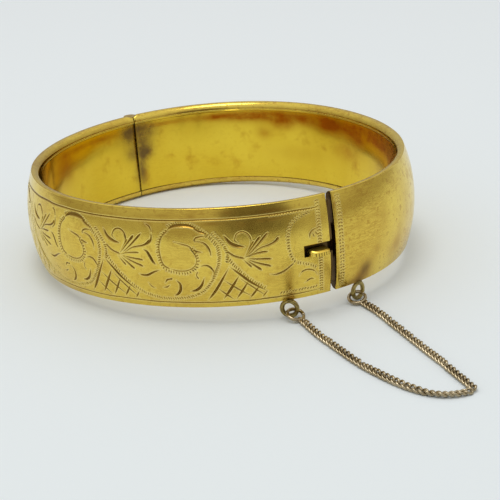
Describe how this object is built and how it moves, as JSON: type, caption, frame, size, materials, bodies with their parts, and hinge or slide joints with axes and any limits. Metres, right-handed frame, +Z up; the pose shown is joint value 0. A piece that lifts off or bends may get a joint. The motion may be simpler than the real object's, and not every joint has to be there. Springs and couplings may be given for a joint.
{
  "type": "hinged bangle bracelet",
  "caption": "Hinged oval bangle with an engraved front half, a plain back half, a spring snap with a thumb piece and a fine safety chain.",
  "frame": {"origin": "on the table, under the middle of the closed bangle's box, chain left out", "axes": "+Z up from the table, +X from the hinge towards the clasp, engraved half on the -Y side"},
  "size_m": [0.0965, 0.0616, 0.0182],
  "materials": {
    "engraved_gold": "satin rolled gold with engraved lines",
    "polished_gold": "worn polished rolled gold",
    "lining_gold": "smooth rolled gold with orange tarnish",
    "hinge_gold": "dull gold with solder stain",
    "spring_gold": "rolled sheet",
    "eye_gold": "tarnished wire",
    "chain_gold": "duller rose-brown links"
  },
  "bodies": {
    "engraved_half": {"engraved_shell": "engraved_gold", "engraved_lining": "lining_gold", "engraved_hinge_cap": "hinge_gold", "engraved_mouth_plate": "spring_gold", "hinge_pin": "hinge_gold", "engraved_chain_eye": "eye_gold", "engraved_knuckle_1": "hinge_gold", "engraved_knuckle_3": "hinge_gold", "engraved_knuckle_5": "hinge_gold"},
    "plain_half": {"plain_shell": "polished_gold", "plain_lining": "lining_gold", "plain_hinge_cap": "hinge_gold", "plain_clasp_cap": "spring_gold", "plain_chain_eye": "eye_gold", "tongue_base": "spring_gold", "plain_knuckle_2": "hinge_gold", "plain_knuckle_4": "hinge_gold"},
    "snap": {"tongue_spring_leaf": "spring_gold", "thumb_piece": "polished_gold"},
    "front_chain": {"jump_ring_front": "chain_gold", "chain_leg_front": "chain_gold"},
    "back_chain": {"jump_ring_back": "chain_gold", "chain_leg_back": "chain_gold"}
  },
  "joints": [
    {"name": "bangle_hinge", "type": "hinge", "parent": "engraved_half", "child": "plain_half", "pos_m": [-0.0313, 0.00042, 0.00758], "axis": [-0.0488, 0, 0.9988], "range_deg": [0, 40]},
    {"name": "thumb_press", "type": "hinge", "parent": "plain_half", "child": "snap", "pos_m": [0.0301, -0.00433, 0.01058], "axis": [-0.0488, 0, 0.9988], "range_deg": [0, 6], "stiffness_Nm_per_rad": 0.02, "springref_deg": -1.72},
    {"name": "front_chain_swing", "type": "hinge", "parent": "engraved_half", "child": "front_chain", "pos_m": [0.02952, -0.0065, 0.00126], "axis": [0, 0, 1], "range_deg": [0, 61]},
    {"name": "back_chain_swing", "type": "hinge", "parent": "plain_half", "child": "back_chain", "pos_m": [0.03048, 0.00515, 0.00126], "axis": [0, 0, 1], "range_deg": [-63.2, 0]}
  ],
  "couplings": [
    {"joint": "front_chain_swing", "follows": "bangle_hinge", "ratio": 1.52},
    {"joint": "back_chain_swing", "follows": "bangle_hinge", "ratio": -1.575}
  ]
}
